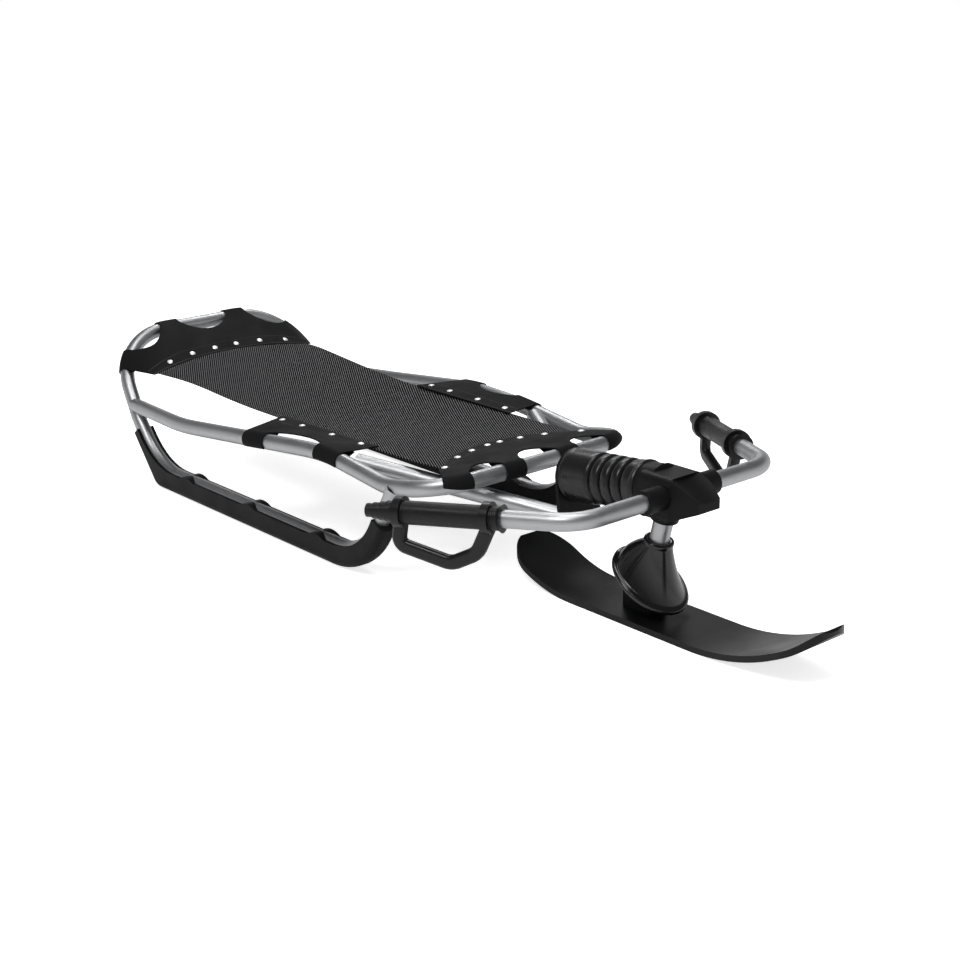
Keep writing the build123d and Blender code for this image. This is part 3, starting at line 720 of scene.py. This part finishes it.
# Bellows: black rubber, moulded in one piece with a deep cup, four folds and a lip. The cup is pushed
# over the rim of the head plate and the lip is held in the back of the housing.
def ring_faces(rings, around):
    """The faces that join each ring of points to the next."""
    faces = []
    for row in range(rings - 1):
        for step in range(around):
            here = row * around + step
            after = row * around + (step + 1) % around
            faces.append((here, after, after + around, here + around))
    return faces


def turned(name, start, end, outline, finish, around=72):
    """A skin turned round the line from start to end; outline gives distance along it and radius."""
    way = (end - start).normalized()
    side = way.orthogonal().normalized()
    other = way.cross(side)
    points = []
    for along, radius in outline:
        for step in range(around):
            angle = math.tau * step / around
            spoke = side * math.cos(angle) + other * math.sin(angle)
            points.append(start + way * along + spoke * radius)
    return new_piece(name, points, ring_faces(len(outline), around), finish)


def swell(along, middle, width):
    """A smooth swelling of height 1 about the middle."""
    return math.exp(-(((along - middle) / width) ** 2))


bellows_rubber = new_finish("bellows_rubber", (0.006, 0.006, 0.0065), 0.3, specular=0.4)
vary(bellows_rubber, "Roughness", 35.0, 0.26, 0.36)
cup_start = place(871.0, 0.0, 153.5)
cup_end = place(999.5, 0.0, 168.5)
cup_length = (cup_end - cup_start).length
cup_radius = 0.034
lip_radius = 0.0305
cup_edge = 0.002
fold_first = 0.052
fold_step = 0.0177
fold_count = 4
fold_depth = 0.0062
fold_width = 0.0026
fold_slope_depth = 0.0012
fold_slope_width = 0.006
bead_inset = 0.003
lip_bead = 0.0016
lip_bead_width = 0.0024
cup_bead = 0.0008
cup_bead_width = 0.002
bellows_thickness = 0.0018
outline_steps = 150
# distance from the cup's open end and radius, first over the edge of the cup
cup_outline = [(0.0006, 0.0290), (0.0006, 0.0325)]
for step in range(outline_steps + 1):
    along = cup_edge + (cup_length - cup_edge) * step / outline_steps
    radius = cup_radius + (lip_radius - cup_radius) * along / cup_length
    for fold in range(fold_count):
        groove = fold_first + fold_step * fold
        radius -= fold_depth * swell(along, groove, fold_width)
        radius -= fold_slope_depth * swell(along, groove, fold_slope_width)
    radius += lip_bead * swell(along, cup_length - bead_inset, lip_bead_width)
    radius += cup_bead * swell(along, bead_inset, cup_bead_width)
    cup_outline.append((along, radius))
cup_outline.append((cup_length, 0.024))
rubber_bellows = turned("rubber_bellows", cup_start, cup_end, cup_outline, bellows_rubber)
thicken(rubber_bellows, bellows_thickness)
settle(rubber_bellows)
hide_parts("bellows")
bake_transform(rubber_bellows)

# Boot: glossy black rubber bell with an oval foot and a rounded rim, moulded smooth and pushed up the
# foot of the steering post. It leans back over the ski's hinge.
gloss_boot = new_finish("gloss_boot", (0.007, 0.007, 0.008), 0.16, specular=0.55)
add_grain(gloss_boot, 90.0, 0.05, 0.0004)
# x, z, tilt in degrees, half length and half width of the foot, the waist and the top
boot_sections = (
    (1003.0, 49.6, 32.0, 51.0, 40.0),
    (1005.0, 75.5, 26.6, 34.7, 27.0),
    (1015.0, 99.1, 15.0, 17.0, 17.0),
)


def boot_at(share):
    """The boot's section at this share of its height, on a smooth line through its three sections."""
    low = (share - 0.5) * (share - 1.0) / 0.5
    middle = share * (share - 1.0) / -0.25
    high = share * (share - 0.5) / 0.5
    return [low * a + middle * b + high * c for a, b, c in zip(*boot_sections)]


# how far out of the section, how far up and at what scale, for the rings of the rim and of the collar
boot_rim = (
    (0.0, 0.0, 0.88),
    (0.0, -4.6, 0.98),
    (4.0, -5.0, 1.0),
    (5.0, -3.8, 1.0),
    (5.0, -1.4, 1.0),
    (4.0, -0.2, 1.0),
    (1.6, 0.3, 1.0),
)
boot_collar = ((1.2, 1.5, 1.0), (1.2, 4.5, 1.0), (0.0, 5.2, 1.0), (-4.6, 5.2, 1.0))
boot_around = 96
boot_rows = 40
boot_thickness = 0.0016
boot_rings = [(0.0, *ring) for ring in boot_rim]
boot_rings += [(row / boot_rows, 0.0, 0.0, 1.0) for row in range(1, boot_rows + 1)]
boot_rings += [(1.0, *ring) for ring in boot_collar]
boot_points = []
for share, grow, rise, scale in boot_rings:
    x, z, tilt, half_length, half_width = boot_at(share)
    lean = math.radians(tilt)
    for step in range(boot_around):
        angle = math.tau * step / boot_around
        along = (half_length + grow) * scale * math.cos(angle)
        across = (half_width + grow) * scale * math.sin(angle)
        ring_x = x + along * math.cos(lean) + rise * math.sin(lean)
        ring_z = z - along * math.sin(lean) + rise * math.cos(lean)
        boot_points.append(place(ring_x, across, ring_z))
rubber_boot = new_piece("rubber_boot", boot_points, ring_faces(len(boot_rings), boot_around), gloss_boot)
thicken(rubber_boot, boot_thickness)
settle(rubber_boot)
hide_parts("ski_boot")
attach(rubber_boot, "steering")


# Rivets and stitches: bright nickel domes, set through the hems of the four panels and the mesh under them.
# Two rows of dark thread run along each hem, one on each side of the rivets. One Geometry Nodes tree sets
# both, as the pieces panel_rivets and hem_stitches.
rivet_nickel = new_finish("rivet_nickel", (0.93, 0.93, 0.93), 0.34, 0.6)
vary(rivet_nickel, "Roughness", 200.0, 0.3, 0.4)
hem_thread = new_finish("hem_thread", (0.055, 0.055, 0.056), 0.6, specular=0.05)
vary(hem_thread, "Roughness", 300.0, 0.5, 0.7)
rivet_tree = bpy.data.node_groups.new("rivets", "GeometryNodeTree")
rivet_tree.interface.new_socket("Places", in_out="INPUT", socket_type="NodeSocketGeometry")
rivet_tree.interface.new_socket("Radius", in_out="INPUT", socket_type="NodeSocketFloat")
rivet_tree.interface.new_socket("Dome", in_out="INPUT", socket_type="NodeSocketFloat")
rivet_tree.interface.new_socket("Finish", in_out="INPUT", socket_type="NodeSocketMaterial")
rivet_tree.interface.new_socket("Rivets", in_out="OUTPUT", socket_type="NodeSocketGeometry")
rivet_in = rivet_tree.nodes.new("NodeGroupInput")
rivet_out = rivet_tree.nodes.new("NodeGroupOutput")
rivet_head = rivet_tree.nodes.new("GeometryNodeMeshUVSphere")
rivet_head.inputs["Segments"].default_value = 20
rivet_head.inputs["Rings"].default_value = 10
rivet_facing = rivet_tree.nodes.new("GeometryNodeInputNamedAttribute")
rivet_facing.data_type = "FLOAT_VECTOR"
rivet_facing.inputs["Name"].default_value = "facing"
rivet_turn = rivet_tree.nodes.new("FunctionNodeAlignRotationToVector")
rivet_turn.axis = "Z"
rivet_scale = rivet_tree.nodes.new("ShaderNodeCombineXYZ")
rivet_set = rivet_tree.nodes.new("GeometryNodeInstanceOnPoints")
rivet_real = rivet_tree.nodes.new("GeometryNodeRealizeInstances")
rivet_finish = rivet_tree.nodes.new("GeometryNodeSetMaterial")
rivet_tree.links.new(rivet_in.outputs["Finish"], rivet_finish.inputs["Material"])
rivet_tree.links.new(rivet_in.outputs["Places"], rivet_set.inputs["Points"])
rivet_tree.links.new(rivet_in.outputs["Radius"], rivet_scale.inputs["X"])
rivet_tree.links.new(rivet_in.outputs["Radius"], rivet_scale.inputs["Y"])
rivet_tree.links.new(rivet_in.outputs["Dome"], rivet_scale.inputs["Z"])
rivet_tree.links.new(rivet_scale.outputs[0], rivet_set.inputs["Scale"])
rivet_tree.links.new(rivet_facing.outputs["Attribute"], rivet_turn.inputs["Vector"])
rivet_tree.links.new(rivet_turn.outputs[0], rivet_set.inputs["Rotation"])
rivet_tree.links.new(rivet_head.outputs["Mesh"], rivet_set.inputs["Instance"])
rivet_tree.links.new(rivet_set.outputs["Instances"], rivet_real.inputs["Geometry"])
rivet_tree.links.new(rivet_real.outputs["Geometry"], rivet_finish.inputs["Geometry"])
rivet_tree.links.new(rivet_finish.outputs["Geometry"], rivet_out.inputs["Rivets"])


def set_domes(name, spots, finish, radius, dome):
    """Small domes at these points, each facing its own way, as one piece on the frame."""
    mesh = bpy.data.meshes.new(name)
    mesh.from_pydata([tuple(spot) for spot, facing in spots], [], [])
    layer = mesh.attributes.new("facing", "FLOAT_VECTOR", "POINT")
    layer.data.foreach_set("vector", [value for spot, facing in spots for value in facing])
    piece = bpy.data.objects.new(name, mesh)
    bpy.context.scene.collection.objects.link(piece)
    maker = piece.modifiers.new("domes", "NODES")
    maker.node_group = rivet_tree
    chosen = {"Radius": radius, "Dome": dome, "Finish": finish}
    for socket in rivet_tree.interface.items_tree:
        if socket.name in chosen:
            maker[socket.identifier] = chosen[socket.name]
    settle(piece)
    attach(piece, "frame")


rivet_radius = 0.0046
rivet_dome = 0.0016
stitch_radius = 0.0009
stitch_dome = 0.0004
stitch_pitch = 0.0032
# distances along the tube on one side of its middle, and shares of the way from the hem to the tube
rear_rivets = (0.021, 0.066, 0.124)
rear_rivet_share = 0.13
rear_stitch_shares = (0.035, 0.225)
front_rivets = (0.012, 0.047, 0.085, 0.134)
front_rivet_share = 0.14
front_stitch_shares = (0.04, 0.25)
stitch_inset = 0.002
rivet_spots = list(side_rivets)
for hand in (-1, 1):
    for distance in rear_rivets:
        rivet_spots.append(on_panel(hoop_tube, hoop_middle, rear_hem, hand * distance, rear_rivet_share))
    for distance in front_rivets:
        rivet_spots.append(on_panel(bar_tube, bar_middle, front_hem, hand * distance, front_rivet_share))
set_domes("panel_rivets", rivet_spots, rivet_nickel, rivet_radius, rivet_dome)
stitch_spots = list(side_stitches)
for tube, middle, hem, tabs, shares in (
    (hoop_tube, hoop_middle, rear_hem, rear_tabs, rear_stitch_shares),
    (bar_tube, bar_middle, front_hem, front_tabs, front_stitch_shares),
):
    half = tabs[-1][1] - stitch_inset
    for step in range(int(2 * half / stitch_pitch)):
        for share in shares:
            stitch_spots.append(on_panel(tube, middle, hem, step * stitch_pitch - half, share))
set_domes("hem_stitches", stitch_spots, hem_thread, stitch_radius, stitch_dome)
